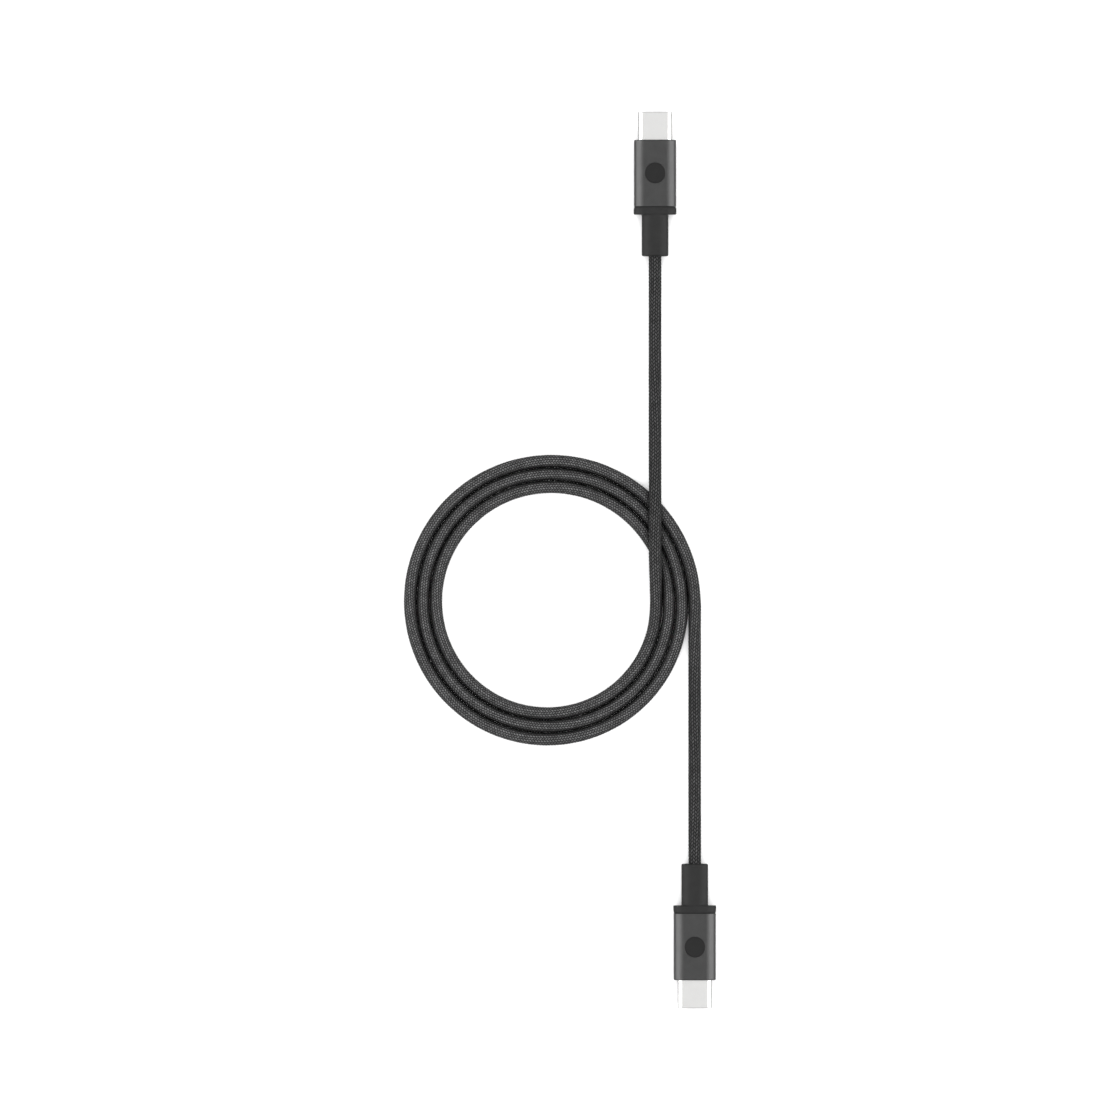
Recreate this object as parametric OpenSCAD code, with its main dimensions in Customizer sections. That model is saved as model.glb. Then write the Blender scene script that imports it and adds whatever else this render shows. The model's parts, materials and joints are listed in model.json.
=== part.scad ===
// Two-ended charging cable: a braided cord coiled flat, with a reversible plug at each end.
// Millimetres. The cable lies on the surface z = 0. The origin is on that surface, midway between
// the two plugs, and +Y points to plug A. Plug B is plug A turned half a turn about Z.

/* [Metal shell] */
// Width of the shell that enters the socket
shell_w = 8.25; // [8.2:0.01:8.34]
// Height of the shell
shell_h = 2.4; // [2.36:0.01:2.46]
// Sheet thickness of the shell
shell_wall = 0.3; // [0.28:0.01:0.31]
// Length of the shell that stands out of the sleeve
shell_out = 6.8; // [6.6:0.05:7]
// Length of the shell that is held inside the sleeve
shell_in = 5.5; // [5.3:0.1:5.5]

/* [Contacts] */
// Number of contact positions in a row
contact_count = 12; // [12:1:12]
// Distance from one contact to the next
contact_pitch = 0.5; // [0.48:0.01:0.52]
// Width of one contact
contact_w = 0.24; // [0.2:0.01:0.3]
// Width of the space for the socket's tongue
mouth_w = 6.9; // [6.8:0.05:7]

/* [Sleeve] */
// Width of the aluminium sleeve
sleeve_w = 10.2; // [9.8:0.1:12]
// Thickness of the sleeve over its two flat faces
sleeve_t = 5.6; // [5.4:0.1:6.5]
// Length of the sleeve
sleeve_len = 16.1; // [16:0.1:18]
// Corner radius of the sleeve's section
sleeve_r = 2.5; // [2.3:0.1:2.5]
// Wall thickness of the sleeve
sleeve_wall = 0.6; // [0.5:0.05:0.7]
// Diameter of the blank disc set into the sleeve
badge_d = 5; // [3:0.1:5.5]
// Depth of the disc's pocket
badge_t = 0.2; // [0.1:0.05:0.4]

/* [Strain relief] */
// Width of the flange against the sleeve
flange_w = 10.35; // [10:0.05:12]
// Length of the flange
flange_len = 1.9; // [1.5:0.1:3]
// Width of the boot
boot_w = 6.45; // [6:0.05:8]
// Thickness of the boot
boot_t = 5.2; // [5.1:0.1:5.4]
// Corner radius of the boot's section
boot_r = 2.5; // [1.8:0.1:2.5]
// Length of the boot
boot_len = 10.1; // [9:0.1:12]

/* [Cord] */
// Diameter over the braid
cord_d = 3; // [2.8:0.1:3.1]
// Radius at which the innermost turn of the coil begins
coil_start_r = 25.9; // [25:0.1:27]
// Growth in radius from one turn to the next
coil_pitch = 3.1; // [3:0.05:3.3]
// Number of turns in the coil
coil_turns = 3; // [2:1:3]

/* [Layout] */
// Distance along Y from the origin to each plug's mouth
plug_reach = 108.4; // [108:0.1:110]
// Distance along X from the origin to each plug's axis
plug_offset = 4.8; // [4.6:0.1:5]

/* [Hidden] */
PLUG_PIECES = [
    "shell", "front_insulator", "contact_block_upper", "contact_block_lower", "contacts_upper",
    "contacts_lower", "ground_plate", "emi_springs", "latch_left", "latch_right", "paddle_card",
    "card_components", "shield_can_upper", "shield_can_lower", "conductors", "cable_tail",
    "crimp_ferrule", "inner_mould", "sleeve", "badge_disc", "strain_relief"
];

$fn = 64;
CLEARANCE = 0.02;       // gap around a piece that sits in another
ROOT = -shell_in;       // where the shell ends inside the sleeve
INSIDE_W = shell_w - 2 * shell_wall;
INSIDE_H = shell_h - 2 * shell_wall;

// Planes along a plug, measured from the sleeve's front face; the mouth is at + shell_out
FLANGE_Y = -sleeve_len;
BOOT_Y = FLANGE_Y - flange_len;
BOOT_END = BOOT_Y - boot_len;

// The front insulator lines the mouth and the contact blocks start behind it
INSULATOR_FRONT = shell_out - 0.35;
INSULATOR_BACK = shell_out - 2.4;
BLOCK_FRONT = INSULATOR_BACK - 0.05;
BLOCK_STEP = 0.2;       // ahead of this plane a block is a thin comb, behind it is solid
BLOCK_BACK = -4.8;
BLOCK_W = 6.6;
COMB_Z = 0.56;          // underside of the comb
TONGUE_SLOT_H = 1.16;   // height of the opening through the front insulator
PLATE_HALF = 0.12;      // half thickness of the ground plate

// Contact strip: its side view, and where it ends
CONTACT_Z = 0.3;
CONTACT_T = 0.16;
CONTACT_BACK = -7;
CONTACT_TIP = 4.2;
CONTACT_BEND = 2.6;

// Latch arm: a blade along the side of the mouth, hinged at its heel
LATCH_X = 3.4;
LATCH_T = 0.15;
LATCH_H = 0.6;
LATCH_TIP = BLOCK_FRONT;
LATCH_HOOK = 0.2;
HEEL_Y = -3.6;
HEEL_D = 0.4;

// Paddle card and what surrounds it
CARD_W = 6.8;
CARD_T = 0.6;
CARD_FRONT = -5;
CARD_BACK = -12.6;
CAN_W = 7.3;
CAN_H = 3.2;
CAN_WALL = 0.2;
CAN_GAP = 0.04;
CAN_FRONT = -5.6;
CAN_BACK = -13.4;
WIRE_D = 0.7;
WIRE_FRONT = -11.2;
TAIL_FRONT = -14.4;
FERRULE_WALL = 0.35;
FERRULE_FRONT = -14.8;
FERRULE_BACK = -15.9;

AXIS_Z = sleeve_t / 2;              // height of a plug's axis above the surface
COIL_CENTRE = [-30.4, -10.5];
COIL_END_R = coil_start_r + coil_pitch * coil_turns;
TUBE_SIDES = 8;

// Centreline of the cord from plug A to the coil, over the coil's turns and down inside them
ROUTE_A = [
    [-4.8, 73.5, 2.8], [-4.8, 70.5, 2.8], [-4.8, 67, 2.65], [-4.8, 63, 2.3], [-4.8, 58.5, 1.85],
    [-4.8, 54, 1.6], [-4.8, 49, 1.5], [-4.8, 43, 1.5], [-4.8, 37, 1.5], [-4.8, 31.5, 1.7],
    [-4.8, 26.5, 2.3], [-4.8, 22, 3.2], [-4.8, 18, 4.0], [-4.8, 14, 4.5], [-4.8, 9.5, 4.6],
    [-4.8, 5, 4.6], [-4.8, 1, 4.5], [-4.7, -2.5, 3.95], [-4.6, -5, 3.25], [-4.55, -7.5, 2.4],
    [-4.5, -10.5, 1.7]
];
// Centreline of the cord from the coil's outermost turn to plug B
ROUTE_B = [
    [4.8, -10.5, 1.5], [4.8, -14, 1.5], [4.8, -18, 1.5], [4.8, -22.5, 1.5], [4.8, -27, 1.5],
    [4.8, -31.5, 1.5], [4.8, -36, 1.5], [4.8, -40.5, 1.5], [4.8, -45, 1.5], [4.8, -49, 1.5],
    [4.8, -54, 1.6], [4.8, -58.5, 1.85], [4.8, -63, 2.3], [4.8, -67, 2.65], [4.8, -70.5, 2.8],
    [4.8, -73.5, 2.8]
];

// ---- Section outlines, drawn across the plug: X to the right, Y up ----

// Flat bar with fully round ends
module stadium(w, h) {
    square([w - h, h], center = true);
    for (side = [-1, 1]) translate([side * (w - h) / 2, 0]) circle(d = h);
}

// Rectangle with round corners
module rounded_rect(w, h, r) {
    square([w - 2 * r, h], center = true);
    square([w, h - 2 * r], center = true);
    for (x = [-1, 1], y = [-1, 1]) translate([x * (w / 2 - r), y * (h / 2 - r)]) circle(r);
}

// Extrudes a section along the plug from the plane y = front back to y = back
module along(front, back) {
    translate([0, front, 0]) rotate([90, 0, 0]) linear_extrude(front - back) children();
}

// ---- Plug pieces, with the sleeve's front face at y = 0 and the mouth towards +Y ----

module shell() {
    color("gainsboro") along(shell_out, ROOT) difference() {
        stadium(shell_w, shell_h);
        stadium(INSIDE_W, INSIDE_H);
    }
}

module front_insulator() {
    color("dimgray") along(INSULATOR_FRONT, INSULATOR_BACK) difference() {
        stadium(INSIDE_W - 2 * CLEARANCE, INSIDE_H - 2 * CLEARANCE);
        rounded_rect(mouth_w, TONGUE_SLOT_H, 0.3);
    }
}

// Section of a contact block from height z up to the shell
module block_section(z) {
    intersection() {
        stadium(INSIDE_W - 2 * CLEARANCE, INSIDE_H - 2 * CLEARANCE);
        translate([-BLOCK_W / 2, z]) square([BLOCK_W, INSIDE_H]);
    }
}

module contact_block() {
    difference() {
        union() {
            along(BLOCK_FRONT, BLOCK_STEP) block_section(COMB_Z);
            along(BLOCK_STEP, BLOCK_BACK) block_section(PLATE_HALF);
        }
        for (i = [0 : contact_count - 1])
            translate([contact_x(i) - contact_w / 2, BLOCK_BACK - 1, CONTACT_Z])
                cube([contact_w, BLOCK_STEP - BLOCK_BACK + 2, CONTACT_T]);
        for (side = [-1, 1])
            translate([side * (LATCH_X + LATCH_T / 2), HEEL_Y, 0])
                cylinder(d = HEEL_D + 2 * CLEARANCE, h = LATCH_H + 2 * CLEARANCE, center = true);
    }
}

module contact_block_upper() { color("darkslategray") contact_block(); }

module contact_block_lower() { color("darkslategray") mirror([0, 0, 1]) contact_block(); }

function contact_x(i) = (i - (contact_count - 1) / 2) * contact_pitch;

// One spring contact: a strip that dips to touch the socket's tongue and turns up at its tip
module contact() {
    rotate([90, 0, 90]) linear_extrude(contact_w, center = true) polygon([
        [CONTACT_BACK, CONTACT_Z], [CONTACT_BEND, CONTACT_Z], [CONTACT_BEND + 0.7, CONTACT_Z - 0.1],
        [CONTACT_BEND + 1.1, CONTACT_Z - 0.1], [CONTACT_TIP, CONTACT_Z + 0.06],
        [CONTACT_TIP - 0.06, CONTACT_Z + 0.2], [CONTACT_BEND + 1.05, CONTACT_Z + 0.05],
        [CONTACT_BEND + 0.75, CONTACT_Z + 0.05], [CONTACT_BEND + 0.05, CONTACT_Z + CONTACT_T],
        [CONTACT_BACK, CONTACT_Z + CONTACT_T]
    ]);
}

// A row of contacts; positions listed in empty are left without one
module contact_row(empty) {
    for (i = [0 : contact_count - 1])
        if (!is_in(i, empty)) translate([contact_x(i), 0, 0]) contact();
}

function is_in(value, list) = len(search(value, list)) > 0;

module contacts_upper() { color("gold") contact_row([]); }

// The lower row has no data pair in its two middle positions
module contacts_lower() { color("gold") mirror([0, 0, 1]) contact_row([5, 6]); }

module ground_plate() {
    color("silver") along(BLOCK_STEP, BLOCK_BACK) square([BLOCK_W - 0.6, 2 * PLATE_HALF], center = true);
}

// Spring strips above and below the mouth, each with two raised touch points
module emi_springs() {
    strip_t = 0.1;
    strip_z = TONGUE_SLOT_H / 2 - strip_t;
    color("silver") for (flip = [0, 1]) mirror([0, 0, flip]) {
        translate([-2.6, INSULATOR_BACK + 0.2, strip_z]) cube([5.2, 1.6, strip_t]);
        for (side = [-1, 1])
            translate([side * 1.5, INSULATOR_BACK + 1, strip_z - 0.06]) cylinder(r = 0.35, h = 0.1);
    }
}

// Latch arm on the +X side of the mouth, with a hook that catches the socket's tongue
module latch() {
    outer = LATCH_X + LATCH_T;
    linear_extrude(LATCH_H, center = true) {
        polygon([
            [LATCH_X, HEEL_Y], [outer, HEEL_Y], [outer, LATCH_TIP], [outer - 0.1, LATCH_TIP],
            [LATCH_X - LATCH_HOOK, LATCH_TIP - 0.4], [LATCH_X - LATCH_HOOK, LATCH_TIP - 0.6],
            [LATCH_X, LATCH_TIP - 1.05]
        ]);
        translate([LATCH_X + LATCH_T / 2, HEEL_Y]) circle(d = HEEL_D);
    }
}

module latch_right() { color("silver") latch(); }

module latch_left() { color("silver") mirror([1, 0, 0]) latch(); }

module paddle_card() {
    color("darkgreen") along(CARD_FRONT, CARD_BACK) square([CARD_W, CARD_T], center = true);
}

// One moulded chip or resistor on the card: centre x and y, width, length, height
module component(x, y, w, l, h) {
    translate([x - w / 2, y - l / 2, CARD_T / 2]) cube([w, l, h]);
}

module card_components() {
    color("black") {
        component(0, -9, 1.6, 1.6, 0.5);
        for (side = [-1, 1]) {
            component(side * 2.2, -8.3, 0.5, 1, 0.35);
            component(side * 2.2, -10, 0.5, 1, 0.35);
            mirror([0, 0, 1]) component(side * 1.4, -9, 0.8, 1.6, 0.45);
        }
    }
}

// Upper half of the stamped can over the card: a channel that is open at both ends
module shield_can() {
    along(CAN_FRONT, CAN_BACK) difference() {
        translate([-CAN_W / 2, CAN_GAP]) square([CAN_W, CAN_H / 2 - CAN_GAP]);
        translate([CAN_WALL - CAN_W / 2, 0]) square([CAN_W - 2 * CAN_WALL, CAN_H / 2 - CAN_WALL]);
    }
}

module shield_can_upper() { color("lightsteelblue") shield_can(); }

module shield_can_lower() { color("lightsteelblue") mirror([0, 0, 1]) shield_can(); }

// Wires from the end of the cord's jacket to the card: three above it and two below
module conductors() {
    z = (CARD_T + WIRE_D) / 2;
    color("firebrick") {
        for (x = [-0.85, 0, 0.85]) translate([x, 0, z]) along(WIRE_FRONT, TAIL_FRONT) circle(d = WIRE_D);
        for (x = [-0.5, 0.5]) translate([x, 0, -z]) along(WIRE_FRONT, TAIL_FRONT) circle(d = WIRE_D);
    }
}

// End of the cord inside the plug
module cable_tail() {
    color("#333333") along(TAIL_FRONT, BOOT_END) circle(d = cord_d);
}

module crimp_ferrule() {
    color("goldenrod") along(FERRULE_FRONT, FERRULE_BACK) difference() {
        circle(d = cord_d + 2 * FERRULE_WALL);
        circle(d = cord_d);
    }
}

// Plastic that fills the sleeve around the shell, the can and the ferrule
module inner_mould() {
    gap = 2 * CLEARANCE;
    in_w = sleeve_w - 2 * sleeve_wall - gap;
    in_t = sleeve_t - 2 * sleeve_wall - gap;
    color("dimgray") difference() {
        along(-0.15, FLANGE_Y) rounded_rect(in_w, in_t, sleeve_r - sleeve_wall);
        along(1, CAN_FRONT) stadium(shell_w + gap, shell_h + gap);
        along(CAN_FRONT, CAN_BACK) square([CAN_W + gap, CAN_H + gap], center = true);
        along(CAN_BACK, FLANGE_Y - 1) circle(d = cord_d + 2 * FERRULE_WALL + gap);
    }
}

module badge_place() {
    translate([0, -sleeve_len / 2, sleeve_t / 2 - badge_t]) children();
}

module sleeve() {
    color("#5a5a5c") difference() {
        along(0, FLANGE_Y) rounded_rect(sleeve_w, sleeve_t, sleeve_r);
        along(1, FLANGE_Y - 1)
            rounded_rect(sleeve_w - 2 * sleeve_wall, sleeve_t - 2 * sleeve_wall, sleeve_r - sleeve_wall);
        badge_place() cylinder(d = badge_d, h = 1);
    }
}

module badge_disc() {
    color("#2f2f30") badge_place() cylinder(d = badge_d - 2 * CLEARANCE, h = badge_t);
}

// Flange and boot, moulded as one piece over the cord
module strain_relief() {
    color("#3a3a3b") difference() {
        union() {
            along(FLANGE_Y, BOOT_Y) rounded_rect(flange_w, sleeve_t, sleeve_r + 0.05);
            along(BOOT_Y, BOOT_END) rounded_rect(boot_w, boot_t, boot_r);
        }
        along(0, BOOT_END - 1) circle(d = cord_d + 2 * CLEARANCE);
    }
}

module at_plug_a() { translate([-plug_offset, plug_reach - shell_out, AXIS_Z]) children(); }

module at_plug_b() { rotate([0, 0, 180]) at_plug_a() children(); }

// ---- Cord ----

// Direction of the route at point i, taken from its neighbours
function heading(route, i) =
    let (step = route[min(i + 1, len(route) - 1)] - route[max(i - 1, 0)]) step / norm(step);

// Ring of points around point i; its flats touch a circle of the cord's diameter
function ring(route, i, d) =
    let (
        ahead = heading(route, i),
        across = cross(ahead, [0, 0, 1]) / norm(cross(ahead, [0, 0, 1])),
        up = cross(across, ahead),
        r = d / 2 / cos(180 / TUBE_SIDES)
    )
    [for (k = [0 : TUBE_SIDES - 1])
        let (turn = (k + 0.5) * 360 / TUBE_SIDES)
        route[i] + r * (cos(turn) * across + sin(turn) * up)];

module tube(route, d) {
    last = len(route) - 1;
    polyhedron(
        points = [for (i = [0 : last]) each ring(route, i, d)],
        faces = concat(
            [[for (k = [0 : TUBE_SIDES - 1]) k]],
            [for (i = [0 : last - 1]) for (k = [0 : TUBE_SIDES - 1])
                let (a = i * TUBE_SIDES + k, b = i * TUBE_SIDES + (k + 1) % TUBE_SIDES)
                [a, a + TUBE_SIDES, b + TUBE_SIDES, b]],
            [[for (k = [TUBE_SIDES - 1 : -1 : 0]) last * TUBE_SIDES + k]]
        )
    );
}

module cord_lead_a() { color("#3c3c3c") tube(ROUTE_A, cord_d); }

module cord_lead_b() { color("#3c3c3c") tube(ROUTE_B, cord_d); }

// Outer shape of the flat coil: a ring with rounded edges that holds every turn
module cord_coil() {
    color("#3c3c3c") translate([COIL_CENTRE.x, COIL_CENTRE.y, 0]) rotate_extrude($fn = 180) {
        translate([coil_start_r, 0]) square([COIL_END_R - coil_start_r, cord_d]);
        for (r = [coil_start_r, COIL_END_R]) translate([r, cord_d / 2]) circle(d = cord_d, $fn = 48);
    }
}

cord_lead_a();
cord_coil();
cord_lead_b();

at_plug_a() shell();  // plug_a_shell
at_plug_a() front_insulator();  // plug_a_front_insulator
at_plug_a() contact_block_upper();  // plug_a_contact_block_upper
at_plug_a() contact_block_lower();  // plug_a_contact_block_lower
at_plug_a() contacts_upper();  // plug_a_contacts_upper
at_plug_a() contacts_lower();  // plug_a_contacts_lower
at_plug_a() ground_plate();  // plug_a_ground_plate
at_plug_a() emi_springs();  // plug_a_emi_springs
at_plug_a() latch_left();  // plug_a_latch_left
at_plug_a() latch_right();  // plug_a_latch_right
at_plug_a() paddle_card();  // plug_a_paddle_card
at_plug_a() card_components();  // plug_a_card_components
at_plug_a() shield_can_upper();  // plug_a_shield_can_upper
at_plug_a() shield_can_lower();  // plug_a_shield_can_lower
at_plug_a() conductors();  // plug_a_conductors
at_plug_a() cable_tail();  // plug_a_cable_tail
at_plug_a() crimp_ferrule();  // plug_a_crimp_ferrule
at_plug_a() inner_mould();  // plug_a_inner_mould
at_plug_a() sleeve();  // plug_a_sleeve
at_plug_a() badge_disc();  // plug_a_badge_disc
at_plug_a() strain_relief();  // plug_a_strain_relief

at_plug_b() shell();  // plug_b_shell
at_plug_b() front_insulator();  // plug_b_front_insulator
at_plug_b() contact_block_upper();  // plug_b_contact_block_upper
at_plug_b() contact_block_lower();  // plug_b_contact_block_lower
at_plug_b() contacts_upper();  // plug_b_contacts_upper
at_plug_b() contacts_lower();  // plug_b_contacts_lower
at_plug_b() ground_plate();  // plug_b_ground_plate
at_plug_b() emi_springs();  // plug_b_emi_springs
at_plug_b() latch_left();  // plug_b_latch_left
at_plug_b() latch_right();  // plug_b_latch_right
at_plug_b() paddle_card();  // plug_b_paddle_card
at_plug_b() card_components();  // plug_b_card_components
at_plug_b() shield_can_upper();  // plug_b_shield_can_upper
at_plug_b() shield_can_lower();  // plug_b_shield_can_lower
at_plug_b() conductors();  // plug_b_conductors
at_plug_b() cable_tail();  // plug_b_cable_tail
at_plug_b() crimp_ferrule();  // plug_b_crimp_ferrule
at_plug_b() inner_mould();  // plug_b_inner_mould
at_plug_b() sleeve();  // plug_b_sleeve
at_plug_b() badge_disc();  // plug_b_badge_disc
at_plug_b() strain_relief();  // plug_b_strain_relief
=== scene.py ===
"""Looks of a two-ended charging cable: braided cord, metal plugs, moulded boots.

Metres, in the CAD model's frame: +Z up from the surface, +Y to plug A. Plug B is plug A turned half
a turn about Z, so every plug piece is built once at plug A and turned for plug B.
"""
import json
import math

import bpy
import numpy as np
from mathutils import Matrix, Vector


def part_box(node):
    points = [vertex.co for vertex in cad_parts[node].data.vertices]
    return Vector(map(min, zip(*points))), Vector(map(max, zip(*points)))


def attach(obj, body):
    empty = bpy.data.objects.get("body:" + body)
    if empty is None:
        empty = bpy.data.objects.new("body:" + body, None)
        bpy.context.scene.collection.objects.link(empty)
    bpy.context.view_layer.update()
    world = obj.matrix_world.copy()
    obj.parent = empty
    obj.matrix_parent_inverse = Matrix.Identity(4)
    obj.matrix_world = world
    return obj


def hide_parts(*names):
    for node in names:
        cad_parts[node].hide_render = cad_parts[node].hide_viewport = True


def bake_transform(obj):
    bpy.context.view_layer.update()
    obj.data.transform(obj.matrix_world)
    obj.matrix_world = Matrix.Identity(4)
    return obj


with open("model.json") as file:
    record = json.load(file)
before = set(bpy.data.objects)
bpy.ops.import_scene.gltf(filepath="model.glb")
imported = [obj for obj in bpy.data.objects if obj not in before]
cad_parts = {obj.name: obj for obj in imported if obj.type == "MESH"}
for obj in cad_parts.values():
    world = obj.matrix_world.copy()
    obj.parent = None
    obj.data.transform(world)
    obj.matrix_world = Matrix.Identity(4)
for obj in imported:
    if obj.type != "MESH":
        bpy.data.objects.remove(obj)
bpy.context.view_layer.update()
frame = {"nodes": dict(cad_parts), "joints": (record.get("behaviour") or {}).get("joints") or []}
nodes = frame["nodes"]
MM = 0.001
UP = np.array([0.0, 0.0, 1.0])

# ---------------------------------------------------------------- sizes read from the frame

shell_lo, shell_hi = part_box("plug_a_shell")
sleeve_lo, sleeve_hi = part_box("plug_a_sleeve")
relief_lo, relief_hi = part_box("plug_a_strain_relief")
badge_lo, badge_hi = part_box("plug_a_badge_disc")
insulator_lo, insulator_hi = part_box("plug_a_front_insulator")
tail_lo, tail_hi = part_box("plug_a_cable_tail")
wires_lo, wires_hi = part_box("plug_a_conductors")
card_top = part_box("plug_a_paddle_card")[1].z

AXIS_X = (sleeve_lo.x + sleeve_hi.x) / 2
AXIS_Z = (sleeve_lo.z + sleeve_hi.z) / 2
SHELL_W = shell_hi.x - shell_lo.x
SHELL_H = shell_hi.z - shell_lo.z
SLEEVE_W = sleeve_hi.x - sleeve_lo.x
SLEEVE_T = sleeve_hi.z - sleeve_lo.z
FLANGE_W = relief_hi.x - relief_lo.x
FLANGE_TOP = relief_hi.y
BOOT_MOUTH = relief_lo.y
BADGE_R = (badge_hi.x - badge_lo.x) / 2
CORD_D = tail_hi.x - tail_lo.x
HINGE_Y = next(j for j in frame["joints"] if j["name"] == "plug_a_flex")["pos_m"][1]

# Sizes that no node's box gives, as in the CAD source
SHELL_WALL = 0.3 * MM
SLEEVE_WALL = 0.6 * MM
SLEEVE_R = 2.5 * MM
FLANGE_LEN = 1.9 * MM
BOOT_TOP = FLANGE_TOP - FLANGE_LEN
BOOT_W = 6.45 * MM
BOOT_T = 5.2 * MM
BOOT_R = 2.5 * MM

BRAID_R = CORD_D / 2 + 0.05 * MM    # over the yarns' crowns, where neighbouring turns touch

# ---------------------------------------------------------------- camera and the cord's route

LENS_MM = 300
SENSOR_MM = 36
VIEW_WIDTH = 271 * MM           # width of the view at the height of the plugs' axes
CAMERA_X = -27.8 * MM


def make_camera():
    data = bpy.data.cameras.new("camera")
    data.lens = LENS_MM
    data.sensor_width = SENSOR_MM
    camera = bpy.data.objects.new("camera", data)
    camera.location = (CAMERA_X, 0, AXIS_Z + VIEW_WIDTH * LENS_MM / SENSOR_MM)
    bpy.context.scene.collection.objects.link(camera)
    bpy.context.scene.camera = camera


make_camera()

# The route's points in millimetres, as in the CAD source
ROUTE_A = [
    (-4.8, 73.5, 2.8), (-4.8, 70.5, 2.8), (-4.8, 67, 2.65), (-4.8, 63, 2.3), (-4.8, 58.5, 1.85),
    (-4.8, 54, 1.6), (-4.8, 49, 1.5), (-4.8, 43, 1.5), (-4.8, 37, 1.5), (-4.8, 31.5, 1.7),
    (-4.8, 26.5, 2.3), (-4.8, 22, 3.2), (-4.8, 18, 4.0), (-4.8, 14, 4.5), (-4.8, 9.5, 4.6),
    (-4.8, 5, 4.6), (-4.8, 1, 4.5), (-4.7, -2.5, 3.95), (-4.6, -5, 3.25), (-4.55, -7.5, 2.4),
    (-4.5, -10.5, 1.7),
]
ROUTE_B = [
    (4.8, -10.5, 1.5), (4.8, -14, 1.5), (4.8, -18, 1.5), (4.8, -22.5, 1.5), (4.8, -27, 1.5),
    (4.8, -31.5, 1.5), (4.8, -36, 1.5), (4.8, -40.5, 1.5), (4.8, -45, 1.5), (4.8, -49, 1.5),
    (4.8, -54, 1.6), (4.8, -58.5, 1.85), (4.8, -63, 2.3), (4.8, -67, 2.65), (4.8, -70.5, 2.8),
    (4.8, -73.5, 2.8),
]
COIL_CENTRE = (-30.4, -10.5)
COIL_START_R = 25.9
COIL_PITCH = 3.1
COIL_TURNS = 3
COIL_STEPS = 24                 # points in one turn
COIL_Z = 1.5
CURVE_STEPS = 24                # points along the curve between two of the route's


def coil_points():
    """The flat spiral between the two leads, outwards and clockwise seen from above."""
    points = []
    for i in range(1, COIL_TURNS * COIL_STEPS):
        turn = i / COIL_STEPS
        r = COIL_START_R + COIL_PITCH * turn
        a = -2 * math.pi * turn
        points.append((COIL_CENTRE[0] + r * math.cos(a), COIL_CENTRE[1] + r * math.sin(a), COIL_Z))
    return points


def length_along(line):
    return np.concatenate([[0], np.cumsum(np.linalg.norm(np.diff(line, axis=0), axis=1))])


def smooth(points, step):
    """Points a step apart along the smooth curve through the given ones: cubic spans of chord
    length h, whose direction m at each point lies between those of the chords beside it."""
    p = np.array(points, float)
    h = np.linalg.norm(np.diff(p, axis=0), axis=1)
    slope = np.diff(p, axis=0) / h[:, None]
    m = np.vstack([slope[:1], slope])
    m[1:-1] = (slope[:-1] * h[1:, None] + slope[1:] * h[:-1, None]) / (h[:-1] + h[1:])[:, None]
    u = np.linspace(0, 1, CURVE_STEPS, endpoint=False)[:, None]
    parts = [
        (1 + 2 * u) * (1 - u) ** 2 * p[i] + u * (1 - u) ** 2 * h[i] * m[i]
        + u * u * (3 - 2 * u) * p[i + 1] + u * u * (u - 1) * h[i] * m[i + 1]
        for i in range(len(h))
    ]
    fine = np.vstack([*parts, p[-1:]])
    s = length_along(fine)
    even = np.linspace(0, s[-1], round(s[-1] / step) + 1)
    return np.stack([np.interp(even, s, fine[:, k]) for k in range(3)], axis=1)


def cord_line(step):
    """The cord's centreline in metres, never lower than the surface allows. It starts and ends
    inside the boots, at their hinges."""
    inside_a = (AXIS_X / MM, HINGE_Y / MM, AXIS_Z / MM)
    inside_b = (-inside_a[0], -inside_a[1], inside_a[2])
    line = smooth([inside_a, *ROUTE_A, *coil_points(), *ROUTE_B, inside_b], step / MM) * MM
    line[:, 2] = np.maximum(line[:, 2], BRAID_R)
    return line


# ---------------------------------------------------------------- mesh helpers

EDGE_ANGLE = 35                 # degrees between two faces from which their edge stays sharp
HAIR = 1e-6                     # metres that keep a full round from closing on itself


def new_piece(name, verts, faces, material, smooth_angle=EDGE_ANGLE):
    """Smooth-shaded object; smooth_angle=0 shades over every edge."""
    mesh = bpy.data.meshes.new(name)
    mesh.from_pydata([tuple(v) for v in verts], [], faces)
    mesh.validate()
    mesh.materials.append(material)
    mesh.polygons.foreach_set("use_smooth", [True] * len(mesh.polygons))
    piece = bpy.data.objects.new(name, mesh)
    bpy.context.scene.collection.objects.link(piece)
    if smooth_angle:
        mesh.set_sharp_from_angle(angle=math.radians(smooth_angle))
        even = piece.modifiers.new("even normals", "WEIGHTED_NORMAL")
        even.keep_sharp = True
    return piece


def rounded_outline(w, h, r, arc_points=10):
    """Points round a rectangle with round corners, in the X-Z plane about the plug's axis."""
    points = []
    for quarter in range(4):
        cx = (w / 2 - r) * (1, -1, -1, 1)[quarter]
        cz = (h / 2 - r) * (1, 1, -1, -1)[quarter]
        for i in range(arc_points + 1):
            a = (quarter + i / arc_points) * math.pi / 2
            points.append((cx + r * math.cos(a), cz + r * math.sin(a)))
    return points


def loop_at(y, w, h, r):
    """A rounded section of the plug at y, with a radius of at most half of each side."""
    r = min(r, h / 2 - HAIR, w / 2 - HAIR)
    return [(AXIS_X + x, y, AXIS_Z + z) for x, z in rounded_outline(w, h, r)]


def loft(loops, closed=False, caps=True):
    """Vertices and faces of a skin over loops of equal length; closed joins the last to the first."""
    n = len(loops[0])
    verts = [p for loop in loops for p in loop]
    faces = []
    for i in range(len(loops) - (0 if closed else 1)):
        a, b = i * n, (i + 1) % len(loops) * n
        for k in range(n):
            faces.append((a + k, b + k, b + (k + 1) % n, a + (k + 1) % n))
    if caps and not closed:
        faces.append(tuple(range(n)))
        faces.append(tuple(reversed(range(len(verts) - n, len(verts)))))
    return verts, faces


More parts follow.
